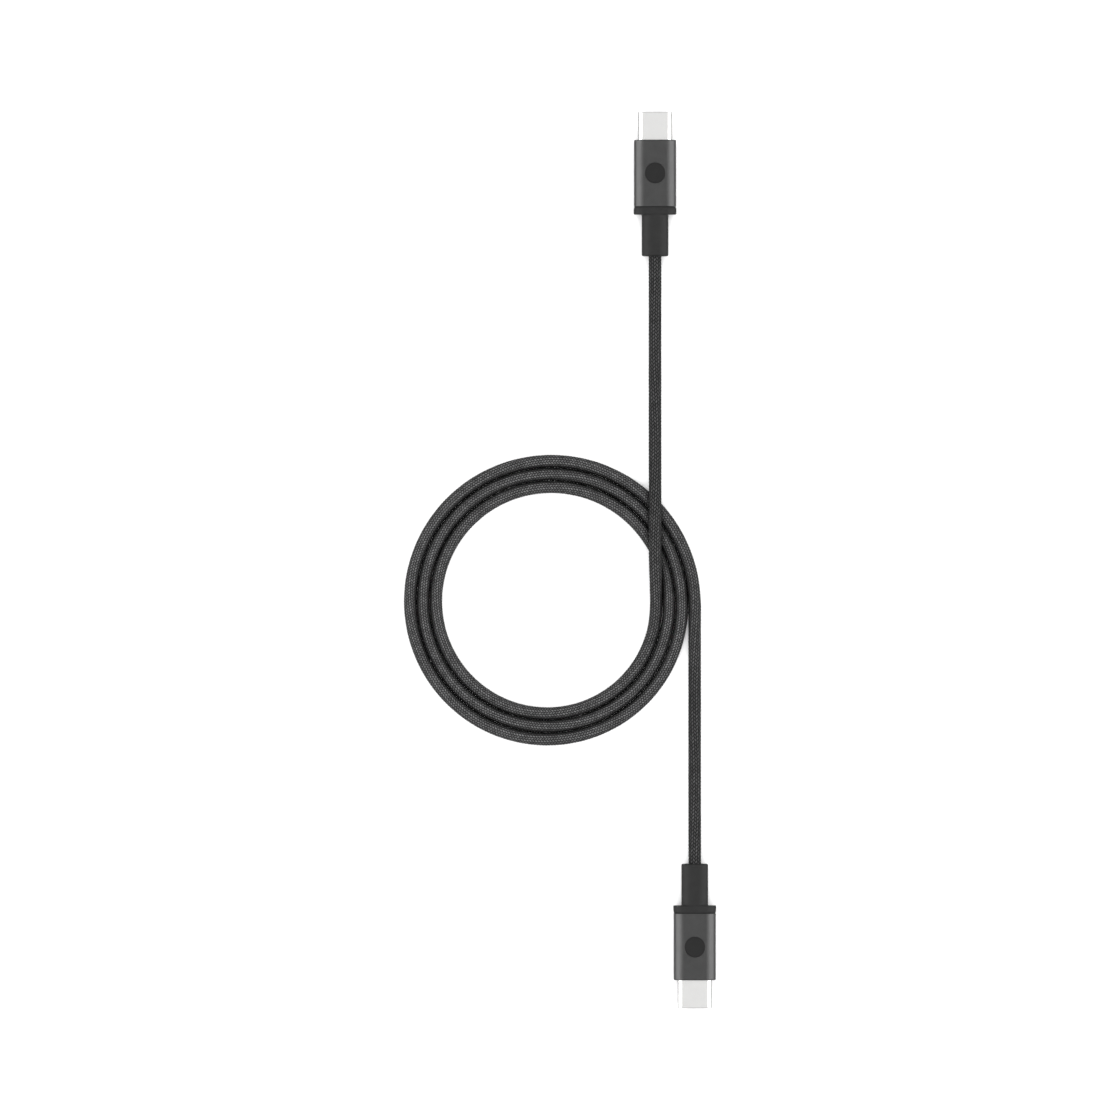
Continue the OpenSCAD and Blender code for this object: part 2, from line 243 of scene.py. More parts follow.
def turned(piece, end):
    """Turns a piece built at plug A half a turn about Z if it belongs to plug B."""
    if end == "b":
        piece.data.transform(Matrix.Rotation(math.pi, 4, "Z"))
    return piece


def round_over(y, edge, w, h, r, inset_sign, steps=4):
    """Loops that round off the section's edge by radius edge, towards the plane y. inset_sign is
    1 where the piece lies below that plane and -1 where it lies above."""
    loops = []
    for i in range(steps + 1):
        a = i / steps * math.pi / 2
        back = edge * (1 - math.sin(a))
        inset = edge * (1 - math.cos(a))
        loops.append(loop_at(y - inset_sign * back, w - 2 * inset, h - 2 * inset, r - inset))
    return loops


# ---------------------------------------------------------------- material helpers

class Paint:
    """One node material, built by short calls."""

    def __init__(self, name, **sockets):
        self.material = bpy.data.materials.new(name)
        self.material.use_nodes = True
        self.tree = self.material.node_tree
        self.shader = self.tree.nodes["Principled BSDF"]
        for key, value in sockets.items():
            self.shader.inputs[key.replace("_", " ")].default_value = value

    def node(self, kind, **settings):
        made = self.tree.nodes.new("ShaderNode" + kind)
        for key, value in settings.items():
            setattr(made, key, value)
        return made

    def put(self, socket, value):
        """Gives an input socket another node's output or a constant."""
        if isinstance(value, bpy.types.NodeSocket):
            self.tree.links.new(value, socket)
        else:
            socket.default_value = value

    def math(self, operation, *values):
        made = self.node("Math", operation=operation)
        for socket, value in zip(made.inputs, values):
            self.put(socket, value)
        return made.outputs[0]

    def product(self, first, *others):
        for other in others:
            first = self.math("MULTIPLY", first, other)
        return first

    def mix(self, factor, a, b):
        """Colour a where factor is 0 and b where it is 1."""
        made = self.node("Mix", data_type="RGBA")
        for socket, value in zip((made.inputs[0], made.inputs[6], made.inputs[7]), (factor, a, b)):
            self.put(socket, value)
        return made.outputs[2]

    def remap(self, value, a, b, low, high):
        """Straight from low where value is a to high where it is b, and level outside."""
        made = self.node("MapRange", clamp=True)
        for socket, given in zip(made.inputs, (value, a, b, low, high)):
            self.put(socket, given)
        return made.outputs[0]

    def place(self, stretch=(1, 1, 1)):
        """Position on the object, in millimetres, scaled along each axis."""
        mapping = self.node("Mapping")
        mapping.inputs["Scale"].default_value = [s / MM for s in stretch]
        self.put(mapping.inputs["Vector"], self.node("TexCoord").outputs["Object"])
        return mapping.outputs[0]

    def noise(self, scale, detail=3, stretch=(1, 1, 1), roughness=0.5):
        """Noise with scale features per millimetre, from 0 to 1."""
        made = self.node("TexNoise")
        self.put(made.inputs["Vector"], self.place(stretch))
        made.inputs["Scale"].default_value = scale
        made.inputs["Detail"].default_value = detail
        made.inputs["Roughness"].default_value = roughness
        return made.outputs[0]

    def bump(self, height, depth, strength):
        """Raises the surface, and a coat on it, by depth metres times height."""
        made = self.node("Bump")
        made.inputs["Strength"].default_value = strength
        made.inputs["Distance"].default_value = depth
        self.put(made.inputs["Height"], height)
        for socket in ("Normal", "Coat Normal"):
            self.tree.links.new(made.outputs[0], self.shader.inputs[socket])

    def colour(self, value):
        self.put(self.shader.inputs["Base Color"], value)

    def rough(self, value):
        self.put(self.shader.inputs["Roughness"], value)


def grey(value, tint=(1, 1, 1)):
    return (value * tint[0], value * tint[1], value * tint[2], 1)


# ---------------------------------------------------------------- braid

YARNS = 16                      # yarns that wind each way round the cord
COIL_STEP = 0.68 * MM           # length of cord from one yarn to the next in the coil
LEAD_STEP = 0.88 * MM           # and in the two leads, which have been pulled straight
RINGS_PER_STEP = 3
SIDES = 2 * YARNS
YARN_RELIEF = 0.11 * MM         # depth of the dips between yarns
CROWN_FALL = 0.96               # how far a yarn's side falls below its crown
ARCH_FALL = 0.85                # and how far its ends dive below its middle
OFF_EDGE = 1e-3                 # yarns, which keeps a vertex off the line between two of them
TWISTS = ((0.7, 0.19, 0), (0.3, 0.047, 1))     # radians to each side, metres a wave, phase

PLAIN_SHADE = 0.36              # painted shade lost by the cord's sides, and twice that by its underside
NEAR_TURN = 4.6 * MM            # another turn shades this one when its centre is this close
OWN_STRETCH = 8 * MM            # length of cord each way that isn't another turn
DEEPEST = 0.02                  # openness where two turns touch
OPENING = (0.4, 0.22)           # gain for each mm from the next turn, and for its square

LEAD_SHADE = 0.54                # painted shade: brightness of the leads as a share of the coil's
LEAD_A_LEN = 90 * MM            # from each end of the cord to the middle of the change
LEAD_B_LEN = 70 * MM
FADE_LEN = 50 * MM              # over which the braid of a lead turns into the coil's


def braid_relief(around, along):
    """Height, 0 to 1, of a two-over-two braid. around and along count yarns."""
    p, q = around + along, around - along
    i, j = np.floor(p), np.floor(q)
    over = np.mod(i + j, 4) < 2
    across = np.where(over, p - i, q - j)
    run = np.where(over, np.mod(q + i, 4), np.mod(p + j - 2, 4)) / 2
    crown = np.sqrt(1 - CROWN_FALL * (2 * across - 1) ** 2)
    arch = 1 - ARCH_FALL * (2 * run - 1) ** 2
    return crown * arch


def coil_share(s):
    """0 on the two leads and 1 in the coil, with a soft change between them."""
    share = np.minimum((s - LEAD_A_LEN) / FADE_LEN, (s[-1] - s - LEAD_B_LEN) / FADE_LEN) + 0.5
    return np.clip(share, 0, 1)


def place_rings(fine):
    """The tube's rings along a finely divided line, and the count of yarns up to each."""
    s = length_along(fine)
    step = LEAD_STEP + (COIL_STEP - LEAD_STEP) * coil_share(s)
    count = np.concatenate([[0], np.cumsum(np.diff(s) / step[1:])])
    rings = np.arange(0, count[-1], 1 / RINGS_PER_STEP)
    return np.stack([np.interp(rings, count, fine[:, k]) for k in range(3)], axis=1), rings


def painted_sky_shade(line, verts):
    """Painted shade for each vertex of the tube, 0 to 1, by how open it is: less beside another
    turn of the cord, and less the more it faces the surface that the cord lies on."""
    ring = verts.reshape(len(line), SIDES, 3)
    rise = (ring[:, :, 2] - line[:, None, 2]) / BRAID_R
    openness = 1 - PLAIN_SHADE * (1 - rise)
    index = np.arange(len(line))
    own = round(OWN_STRETCH / (COIL_STEP / RINGS_PER_STEP))
    for i, centre in enumerate(line):
        near = (np.linalg.norm(line - centre, axis=1) < NEAR_TURN) & (np.abs(index - i) > own)
        if near.any():
            away = np.linalg.norm(ring[i][:, None, :] - line[near][None, :, :], axis=2).min(axis=1)
            clear = (away - CORD_D / 2) / MM
            gain = OPENING[0] * clear + OPENING[1] * clear**2
            openness[i] *= np.clip(DEEPEST + gain, DEEPEST, 1)
    return openness.reshape(-1)


def give_uv(cord, k, count):
    """UV map that runs once from 0 to 1 round the cord and counts yarns along it."""
    shape = (len(count) - 1, SIDES)
    u0 = np.broadcast_to(k[None, :], shape)
    u1 = u0 + 1 / SIDES
    v0 = np.broadcast_to(count[:-1, None], shape)
    v1 = np.broadcast_to(count[1:, None], shape)
    corners = ((u0, v0), (u0, v1), (u1, v1), (u1, v0))
    uv = np.stack([np.stack(c, axis=2) for c in corners], axis=2)
    caps = np.zeros(2 * 2 * SIDES)
    flat = np.concatenate([uv.reshape(-1), caps])
    layer = cord.data.uv_layers.new(name="braid")
    layer.data.foreach_set("uv", flat.astype(np.float32))


def give_shade(cord, shade):
    """Painted shade: brightness of each vertex, which the braid's material multiplies its colour by.
    """
    layer = cord.data.attributes.new("shade", "FLOAT", "POINT")
    layer.data.foreach_set("value", shade.astype(np.float32))


def braided_tube(name, fine, material):
    """The cord's skin: a tube whose surface rises and falls with the braid."""
    line, count = place_rings(fine)
    ahead = np.gradient(line, axis=0)
    ahead /= np.linalg.norm(ahead, axis=1)[:, None]
    side = np.cross(ahead, UP)
    side /= np.linalg.norm(side, axis=1)[:, None]
    over = np.cross(side, ahead)
    s = length_along(line)
    k = (np.arange(SIDES) + 0.5) / SIDES
    twist = sum(most * np.sin(2 * math.pi * s / wave + phase) for most, wave, phase in TWISTS)
    turn = 2 * math.pi * k[None, :] + twist[:, None]
    relief = braid_relief(k[None, :] * YARNS + OFF_EDGE, count[:, None] + OFF_EDGE)
    r = BRAID_R - YARN_RELIEF * (1 - relief)
    verts = (
        line[:, None, :]
        + (r * np.cos(turn))[:, :, None] * side[:, None, :]
        + (r * np.sin(turn))[:, :, None] * over[:, None, :]
    ).reshape(-1, 3)
    first = np.arange(len(line) - 1)[:, None] * SIDES
    side_index = np.arange(SIDES)[None, :]
    a = first + side_index
    b = first + (side_index + 1) % SIDES
    quads = np.stack([a, a + SIDES, b + SIDES, b], axis=2).reshape(-1, 4)
    caps = [tuple(range(SIDES)), tuple(reversed(range(len(verts) - SIDES, len(verts))))]
    cord = new_piece(name, verts, quads.tolist() + caps, material, smooth_angle=0)
    give_uv(cord, k, count)
    # Painted shade: the leads darker than the coil, on top of the shade between turns and underneath
    lead_shade = LEAD_SHADE + (1 - LEAD_SHADE) * coil_share(s)
    give_shade(cord, painted_sky_shade(line, verts) * np.repeat(lead_shade, SIDES))
    return cord


FILAMENTS = 7                   # fine lines along each yarn
YARN_GREY = 0.1                 # a yarn's crown, from which the colour falls to the painted shade in the dips
DIP_SHADE_GREY = 0.001                # painted shade in the dips between yarns
SHEEN_LEANS = (1.1, 0.9)              # painted sheen: brightness of the yarns that wind one way and the other
BLUE_TINT = 1.01


def braid_paint():
    """Dark polyester yarns over and under each other, with fine filaments along each yarn,
    painted shade in the dips between yarns and from the cord's vertices, and a painted sheen on
    the yarns that wind one way.
    """
    paint = Paint("cord_braid_yarns", Specular_IOR_Level=0.05)
    split = paint.node("SeparateXYZ")
    paint.put(split.inputs[0], paint.node("UVMap", uv_map="braid").outputs[0])
    around = paint.math("MULTIPLY", split.outputs[0], float(YARNS))
    along = split.outputs[1]

    # The same weave as braid_relief's: p and q count the yarns that wind each way
    p = paint.math("ADD", around, along)
    q = paint.math("SUBTRACT", around, along)
    i, j = paint.math("FLOOR", p), paint.math("FLOOR", q)
    cell = paint.math("FLOORED_MODULO", paint.math("ADD", i, j), 4.0)
    under = paint.math("GREATER_THAN", cell, 1.5)

    def pick(a, b):
        """a where the first family of yarns is on top, b where the second is."""
        made = paint.node("Mix", data_type="FLOAT")
        for socket, value in zip((made.inputs[0], made.inputs[2], made.inputs[3]), (under, a, b)):
            paint.put(socket, value)
        return made.outputs[0]

    qi, pj = paint.math("ADD", q, i), paint.math("ADD", p, j)
    across = pick(paint.math("FRACT", p), paint.math("FRACT", q))
    run_a = paint.math("FLOORED_MODULO", qi, 4.0)
    run_b = paint.math("FLOORED_MODULO", paint.math("SUBTRACT", pj, 2.0), 4.0)
    run = paint.math("ABSOLUTE", paint.math("SUBTRACT", pick(run_a, run_b), 1.0))
    off = paint.math("ABSOLUTE", paint.math("MULTIPLY_ADD", across, 2.0, -1.0))
    crown = paint.math("SQRT", paint.math("SUBTRACT", 1.0, paint.product(off, off, CROWN_FALL)))
    arch = paint.math("SUBTRACT", 1.0, paint.product(run, run, ARCH_FALL))
    height = paint.math("MULTIPLY", crown, arch)
    filaments = paint.math("SINE", paint.math("MULTIPLY", across, 2 * math.pi * FILAMENTS))

    # Each float, a yarn's run over the others, is a little lighter or darker than the next
    float_a = paint.math("FLOOR", paint.math("MULTIPLY", qi, 0.25))
    float_b = paint.math("FLOOR", paint.math("MULTIPLY", pj, 0.25))
    which = paint.node("CombineXYZ")
    paint.put(which.inputs[0], pick(i, paint.math("ADD", j, 0.5)))
    paint.put(which.inputs[1], pick(float_a, float_b))
    chance = paint.node("TexWhiteNoise", noise_dimensions="2D")
    paint.put(chance.inputs["Vector"], which.outputs[0])
    own = paint.remap(chance.outputs["Value"], 0.0, 1.0, 0.75, 1.25)
    soft = paint.remap(paint.noise(0.25, 2), 0.3, 0.7, 0.93, 1.07)
    fibre = paint.remap(filaments, -1.0, 1.0, 0.9, 1.1)
    # Painted shade: the colour falls from the yarns' crowns to near black in the dips between them
    lit = paint.remap(height, 0.3, 0.95, 0.0, 1.0)
    grade = paint.math("MULTIPLY_ADD", lit, YARN_GREY, DIP_SHADE_GREY)
    # Painted shade from the cord's vertices: darker between turns and underneath
    shade = paint.node("Attribute", attribute_name="shade").outputs["Fac"]
    # Painted sheen: the yarns that wind one way lighter than those that wind the other
    level = paint.product(grade, own, pick(*SHEEN_LEANS), soft, fibre, shade)

    made = paint.node("CombineColor")
    for socket, tint in zip(made.inputs, (1.0, 1.0, BLUE_TINT)):
        paint.put(socket, paint.math("MULTIPLY", level, tint))
    paint.colour(made.outputs[0])
    paint.rough(paint.remap(height, 0.3, 1.0, 0.75, 0.5))
    paint.bump(paint.math("MULTIPLY_ADD", filaments, 0.08, height), 0.1 * MM, 0.6)
    return paint.material


# ---------------------------------------------------------------- materials of the plugs

def anodised_paint():
    """Dark anodised aluminium: blasted metal under its clear oxide."""
    paint = Paint("anodised_aluminium", Metallic=1.0, Coat_Weight=0.6, Coat_Roughness=0.35)
    grain = paint.noise(9, 2)
    cloud = paint.noise(0.35, 3)
    level = paint.remap(paint.math("ADD", cloud, grain), 0.6, 1.4, 0.0, 1.0)
    paint.colour(paint.mix(level, grey(0.028), grey(0.039)))
    paint.rough(paint.remap(grain, 0.3, 0.7, 0.3, 0.4))
    paint.bump(grain, 0.025 * MM, 0.8)
    return paint.material


def bare_metal(name, level, tint, rough, stretch=(1, 1, 1)):
    """Plain or plated metal with drawing marks; stretch below 1 draws them out along an axis."""
    paint = Paint(name, Metallic=1.0)
    marks = paint.noise(9, 3, stretch)
    cloud = paint.noise(0.5, 2)
    paint.colour(paint.mix(cloud, grey(level * 0.94, tint), grey(level, tint)))
    paint.rough(paint.remap(marks, 0.3, 0.7, *rough))
    paint.bump(marks, 0.002 * MM, 0.5)
    return paint.material


def moulded_paint(name, level, rough, grain_depth, scale=8, gloss=0.4):
    """Moulded plastic or elastomer with a fine spark-eroded grain, scale grains to a millimetre."""
    paint = Paint(name, Specular_IOR_Level=gloss)
    grain = paint.noise(scale, 3)
    patch = paint.remap(paint.math("ADD", paint.noise(0.4, 2), grain), 0.6, 1.4, 0.0, 1.0)
    paint.colour(paint.mix(patch, grey(level * 0.82), grey(level * 1.16)))
    paint.rough(paint.remap(grain, 0.3, 0.7, rough - 0.06, rough + 0.06))
    paint.bump(grain, grain_depth, 0.6)
    return paint.material


def card_paint():
    """Green solder mask over copper tracks that run along the card."""
    paint = Paint("solder_mask", Coat_Weight=0.4, Coat_Roughness=0.15)
    tracks = paint.node("TexWave", bands_direction="X")
    paint.put(tracks.inputs["Vector"], paint.place())
    tracks.inputs["Scale"].default_value = 0.35
    tracks.inputs["Distortion"].default_value = 0.6
    ridge = paint.remap(tracks.outputs["Fac"], 0.45, 0.55, 0.0, 1.0)
    mask, mask_on_copper = (0.008, 0.075, 0.03, 1), (0.02, 0.15, 0.06, 1)
    paint.colour(paint.mix(ridge, mask, mask_on_copper))
    paint.rough(paint.remap(paint.noise(3), 0.3, 0.7, 0.3, 0.45))
    paint.bump(ridge, 0.02 * MM, 0.7)
    return paint.material


def wire_paint(name, colour):
    """Glossy coloured insulation with a slightly wavy skin."""
    paint = Paint(name, Specular_IOR_Level=0.5)
    cloud = paint.noise(0.8, 2)
    dark = tuple(c * 0.8 for c in colour)
    paint.colour(paint.mix(cloud, (*dark, 1), (*colour, 1)))
    paint.rough(paint.remap(paint.noise(5), 0.3, 0.7, 0.32, 0.45))
    paint.bump(paint.noise(3, 2), 0.01 * MM, 0.4)
    return paint.material


DRAWN = (1, 0.06, 1)            # marks drawn out along the plug
STAMPED = (1, 0.1, 1)

STEEL = bare_metal("drawn_stainless", 0.64, (1, 0.995, 0.985), (0.2, 0.28), DRAWN)
SPRING = bare_metal("spring_steel_strip", 0.6, (1, 0.985, 0.96), (0.22, 0.32), STAMPED)
TIN = bare_metal("tin_plate", 0.62, (0.98, 1, 1.02), (0.3, 0.42))
GOLD = bare_metal("gold_plate", 0.85, (1, 0.74, 0.34), (0.16, 0.24), STAMPED)
BRASS = bare_metal("plain_brass", 0.7, (1, 0.78, 0.42), (0.28, 0.4))
COPPER = bare_metal("bare_copper", 0.75, (1, 0.52, 0.36), (0.25, 0.35))
ANODISED = anodised_paint()
DISC = moulded_paint("disc_lacquer", 0.007, 0.38, 0.002 * MM, scale=14, gloss=0.15)
BOOT = moulded_paint("boot_elastomer_skin", 0.014, 0.42, 0.06 * MM, scale=5, gloss=0.1)
BLACK_NYLON = moulded_paint("black_nylon", 0.018, 0.45, 0.004 * MM)
CHIP = moulded_paint("chip_resin", 0.02, 0.5, 0.004 * MM, scale=12)
INNER = moulded_paint("inner_body_plastic", 0.035, 0.5, 0.006 * MM)
JACKET = moulded_paint("cord_jacket", 0.025, 0.4, 0.004 * MM)
CARD = card_paint()
BRAID = braid_paint()

# ---------------------------------------------------------------- plug pieces


LIP_STEPS = 6


def make_shell(end):
    """Drawn stainless tube with a rolled lip at the mouth."""
    lip = SHELL_WALL / 2
    inside_w, inside_h = SHELL_W - 2 * SHELL_WALL, SHELL_H - 2 * SHELL_WALL
    loops = [loop_at(shell_lo.y, SHELL_W, SHELL_H, SHELL_H / 2)]
    for i in range(LIP_STEPS + 1):
        a = i / LIP_STEPS * math.pi
        inset = lip * (1 - math.cos(a))
        y = shell_hi.y - lip * (1 - math.sin(a))
        loops.append(loop_at(y, SHELL_W - 2 * inset, SHELL_H - 2 * inset, SHELL_H / 2 - inset))
    loops.append(loop_at(shell_lo.y, inside_w, inside_h, inside_h / 2))
    piece = new_piece(f"plug_{end}_drawn_shell", *loft(loops, closed=True), STEEL)
    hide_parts(f"plug_{end}_shell")
    return piece


def make_insulator(end):
    """Front insulator with a bevelled opening for the socket's tongue."""
    w = insulator_hi.x - insulator_lo.x
    h = insulator_hi.z - insulator_lo.z
    mouth_w, mouth_h, mouth_r, bevel = 6.9 * MM, 1.16 * MM, 0.3 * MM, 0.08 * MM
    loops = [
        loop_at(insulator_lo.y, w, h, h / 2),
        loop_at(insulator_hi.y - bevel, w, h, h / 2),
        loop_at(insulator_hi.y, w - 2 * bevel, h - 2 * bevel, h / 2 - bevel),
        loop_at(insulator_hi.y, mouth_w + 2 * bevel, mouth_h + 2 * bevel, mouth_r + bevel),
        loop_at(insulator_hi.y - 2 * bevel, mouth_w, mouth_h, mouth_r),
        loop_at(insulator_lo.y, mouth_w, mouth_h, mouth_r),
    ]
    piece = new_piece(f"plug_{end}_mouth_insulator", *loft(loops, closed=True), BLACK_NYLON)
    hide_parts(f"plug_{end}_front_insulator")
    return piece


def cut(piece, cutter):
    """Takes the cutter's volume out of the piece and removes the cutter."""
    boolean = piece.modifiers.new("cut", "BOOLEAN")
    boolean.operation = "DIFFERENCE"
    boolean.solver = "EXACT"
    boolean.object = cutter
    piece.modifiers.move(len(piece.modifiers) - 1, 0)
    with bpy.context.temp_override(object=piece, active_object=piece):
        bpy.ops.object.modifier_apply(modifier="cut")
    bpy.data.objects.remove(cutter)


def disc_loops(profile, sides=96):
    """Loops of a turned shape on the badge's axis, from (radius, z) points."""
    x, y = (badge_lo.x + badge_hi.x) / 2, (badge_lo.y + badge_hi.y) / 2
    return [
        [(x + r * math.cos(2 * math.pi * k / sides), y + r * math.sin(2 * math.pi * k / sides), z)
         for k in range(sides)]
        for r, z in profile
    ]


def make_sleeve(end):
    """Aluminium tube with small turned edges and a shallow round pocket in its upper face."""
    rear_edge, front_edge, bevel = 0.06 * MM, 0.22 * MM, 0.08 * MM
    bore_w, bore_t = SLEEVE_W - 2 * SLEEVE_WALL, SLEEVE_T - 2 * SLEEVE_WALL
    bore_r = SLEEVE_R - SLEEVE_WALL
    rear = round_over(sleeve_lo.y, rear_edge, SLEEVE_W, SLEEVE_T, SLEEVE_R, -1)
    loops = list(reversed(rear))
    loops += round_over(sleeve_hi.y, front_edge, SLEEVE_W, SLEEVE_T, SLEEVE_R, 1)
    loops += [
        loop_at(sleeve_hi.y, bore_w + 2 * bevel, bore_t + 2 * bevel, bore_r + bevel),
        loop_at(sleeve_hi.y - bevel, bore_w, bore_t, bore_r),
        loop_at(sleeve_lo.y, bore_w, bore_t, bore_r),
    ]
    piece = new_piece(f"plug_{end}_anodised_sleeve", *loft(loops, closed=True), ANODISED)
    pocket_r = BADGE_R + 0.02 * MM
    rim = 0.04 * MM
    top, above = sleeve_hi.z, MM
    profile = [
        (pocket_r + rim + above, top + above),
        (pocket_r + rim, top),
        (pocket_r, top - rim),
        (pocket_r, badge_lo.z),
    ]
    cutter = new_piece("pocket_cutter", *loft(disc_loops(profile)), ANODISED, smooth_angle=0)
    cut(piece, cutter)
    piece.data.set_sharp_from_angle(angle=math.radians(EDGE_ANGLE))
    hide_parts(f"plug_{end}_sleeve")
    return piece


def make_disc(end):
    """Blank dark disc with a softened rim, a hair below the sleeve's face."""
    recess, soft = 0.03 * MM, 0.06 * MM
    top = badge_hi.z - recess
    profile = [(BADGE_R, badge_lo.z), (BADGE_R, top - soft)]
    for eighth in (1, 2, 3, 4):
        a = eighth * math.pi / 8
        profile.append((BADGE_R - soft * (1 - math.cos(a)), top - soft * (1 - math.sin(a))))
    profile += [(BADGE_R * share, top) for share in (0.9, 0.6, 0.3)]
    verts, faces = loft(list(reversed(disc_loops(profile))))
    piece = new_piece(f"plug_{end}_blank_disc", verts, faces, DISC)
    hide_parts(f"plug_{end}_badge_disc")
    return piece


# Sections of the flange's two edges, in millimetres: how far back from the flange's front, or
# forwards from its rear, and what is taken off its width, its thickness and its corner radius
FLANGE_FRONT = (
    (0, 0.9, 0.9, 0.4), (0, 0.5, 0.3, 0.1), (0.12, 0.34, 0.16, 0.05), (0.4, 0.14, 0.05, 0.02),
    (0.75, 0, 0, 0),
)
FLANGE_REAR = ((0.12, 0, 0, 0), (0.03, 0.06, 0.06, 0), (0, 0.22, 0.22, 0.1))
FILLET_STEPS = 4
BOOT_STEPS = 14                 # sections along the boot, close enough to bend smoothly
HOLE_STEPS = 12


def make_boot(end):
    """Flange and boot in one moulding, with a fillet where they meet and a round-ended boot."""
    flange_t, flange_r = SLEEVE_T, SLEEVE_R + 0.05 * MM
    fillet, tip, lead_in = 0.35 * MM, 0.35 * MM, 0.15 * MM
    hole = CORD_D + 0.04 * MM

    def flange_at(y, cuts):
        off_w, off_t, off_r = (cut_mm * MM for cut_mm in cuts)
        return loop_at(y, FLANGE_W - off_w, flange_t - off_t, flange_r - off_r)

    loops = [loop_at(FLANGE_TOP, hole, hole, hole / 2)]
    loops += [flange_at(FLANGE_TOP - back * MM, cuts) for back, *cuts in FLANGE_FRONT]
    loops += [flange_at(BOOT_TOP + ahead * MM, cuts) for ahead, *cuts in FLANGE_REAR]
    for i in range(FILLET_STEPS + 1):
        a = i / FILLET_STEPS * math.pi / 2
        grow = 2 * fillet * (1 - math.sin(a))
        y = BOOT_TOP - fillet * (1 - math.cos(a))
        thickness = min(BOOT_T + grow, flange_t - 0.3 * MM)
        loops.append(loop_at(y, BOOT_W + grow, thickness, BOOT_R + grow / 4))
    for i in range(1, BOOT_STEPS):
        y = BOOT_TOP - fillet + (BOOT_MOUTH + tip - BOOT_TOP + fillet) * i / BOOT_STEPS
        loops.append(loop_at(y, BOOT_W, BOOT_T, BOOT_R))
    loops += round_over(BOOT_MOUTH, tip, BOOT_W, BOOT_T, BOOT_R, -1, steps=6)
    wide = hole + 2 * lead_in
    loops.append(loop_at(BOOT_MOUTH, wide, wide, wide / 2))
    for i in range(HOLE_STEPS):
        y = BOOT_MOUTH + lead_in + (BOOT_TOP - BOOT_MOUTH) * i / HOLE_STEPS
        loops.append(loop_at(y, hole, hole, hole / 2))
    verts, faces = loft(loops, closed=True)
    outward = [face[::-1] for face in faces]
    piece = new_piece(f"plug_{end}_moulded_boot", verts, outward, BOOT, smooth_angle=50)
    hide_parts(f"plug_{end}_strain_relief")
    return piece


def make_jacket_end(end):
    """The cord's stripped jacket inside the plug, from the wires to the hinge in the boot."""
    bevel = 0.1 * MM
    d = CORD_D - 0.2 * MM
    stations = np.linspace(HINGE_Y + 0.01 * MM, tail_hi.y - bevel, 24)
    loops = [loop_at(y, d, d, d / 2) for y in stations]
    loops.append(loop_at(tail_hi.y, d - 2 * bevel, d - 2 * bevel, d / 2 - bevel))
    piece = new_piece(f"plug_{end}_jacket_end", *loft(loops), JACKET)
    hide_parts(f"plug_{end}_cable_tail")
    return piece


WIRE_COLOURS = {
    "red": (0.5, 0.02, 0.015), "black": (0.012, 0.012, 0.012), "blue": (0.015, 0.06, 0.4),
    "white": (0.7, 0.7, 0.68), "green": (0.015, 0.28, 0.05),
}
# Where each wire lies: millimetres from the plug's axis, and 1 above the card or -1 below it
WIRE_PLACES = ((-0.85, 1), (0, 1), (0.85, 1), (-0.5, -1), (0.5, -1))
WIRE_R = 0.35 * MM
CORE_R = WIRE_R * 0.55
BARE_LEN = 0.7 * MM


def round_bar(x, z, radius, start, stop, sides=16, sections=5):
    """Loops of a straight bar along Y about the point x, z."""
    angles = np.linspace(0, 2 * math.pi, sides, endpoint=False)
    return [
        [(x + radius * math.cos(a), y, z + radius * math.sin(a)) for a in angles]
        for y in np.linspace(start, stop, sections)
    ]


def make_wires(end):
    """Five insulated wires with bare copper ends on the card: three above it and two below."""
    bare_from = wires_hi.y - BARE_LEN
    verts, faces, slots = [], [], []
    for index, (place, side) in enumerate(WIRE_PLACES):
        x = AXIS_X + place * MM
        for radius, start, stop, slot in (
            (WIRE_R, wires_lo.y, bare_from, index),
            (CORE_R, bare_from, wires_hi.y, len(WIRE_PLACES)),
        ):
            z = AXIS_Z + side * (card_top - AXIS_Z + radius)
            made, skin = loft(round_bar(x, z, radius, start, stop))
            faces += [tuple(v + len(verts) for v in face) for face in skin]
            verts += made
            slots += [slot] * len(skin)
    paints = [wire_paint(f"wire_{name}_{end}", colour) for name, colour in WIRE_COLOURS.items()]
    piece = new_piece(f"plug_{end}_coloured_wires", verts, faces, paints[0], smooth_angle=50)
    for paint in [*paints[1:], COPPER]:
        piece.data.materials.append(paint)
    piece.data.polygons.foreach_set("material_index", slots)
    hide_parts(f"plug_{end}_conductors")
    return piece


KEPT_NODES = {
    "contact_block_upper": BLACK_NYLON, "contact_block_lower": BLACK_NYLON,
    "contacts_upper": GOLD, "contacts_lower": GOLD, "ground_plate": SPRING,
    "emi_springs": SPRING, "latch_left": SPRING, "latch_right": SPRING, "paddle_card": CARD,
    "card_components": CHIP, "shield_can_upper": TIN, "shield_can_lower": TIN,
    "crimp_ferrule": BRASS, "inner_mould": INNER,
}


def finish_kept_nodes(end):
    """Gives the plug's CAD nodes that stay their materials."""
    for name, material in KEPT_NODES.items():
        node = nodes[f"plug_{end}_{name}"]
        node.data.materials.clear()
        node.data.materials.append(material)


def make_plug(end):
    body = f"plug_{end}"
    for make in (make_shell, make_insulator, make_sleeve, make_disc, make_wires):
        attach(turned(make(end), end), body)
    for make in (make_boot, make_jacket_end):
        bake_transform(turned(make(end), end))
    finish_kept_nodes(end)


# ---------------------------------------------------------------- cord

FINE_STEP = 0.1 * MM            # of the line that the braid's rings are placed along


def make_cord():
    line = cord_line(FINE_STEP)
    cord = braided_tube("braided_cord", line, BRAID)
    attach(cord, "cord")
    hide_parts("cord_lead_a", "cord_coil", "cord_lead_b")


# ---------------------------------------------------------------- studio

